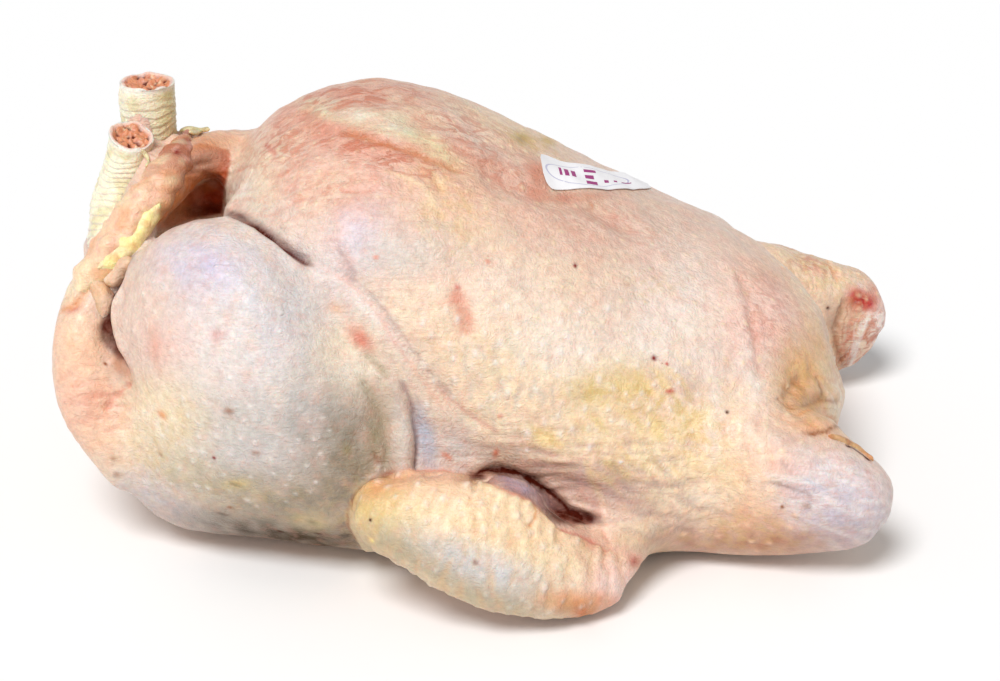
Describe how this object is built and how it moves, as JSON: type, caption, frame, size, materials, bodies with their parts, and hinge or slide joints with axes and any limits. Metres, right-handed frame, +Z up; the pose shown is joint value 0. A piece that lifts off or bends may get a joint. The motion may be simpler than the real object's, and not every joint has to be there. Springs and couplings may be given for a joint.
{
  "type": "raw stewing hen",
  "caption": "Whole raw plucked stewing hen lying on its back, wings folded, cut shanks tucked under a band of skin, paper label on the breast.",
  "frame": {"origin": "on the table, under the middle of the bird's box", "axes": "+X from the tail to the neck end, +Y to the bird's side away from the viewer, +Z up through the breast"},
  "size_m": [0.269, 0.2156, 0.1333],
  "materials": {
    "skin": "moist, semi-gloss plucked skin",
    "label_paper": "matte coated paper"
  },
  "bodies": {
    "root": {"hen": "skin", "tag": "label_paper"}
  },
  "joints": []
}
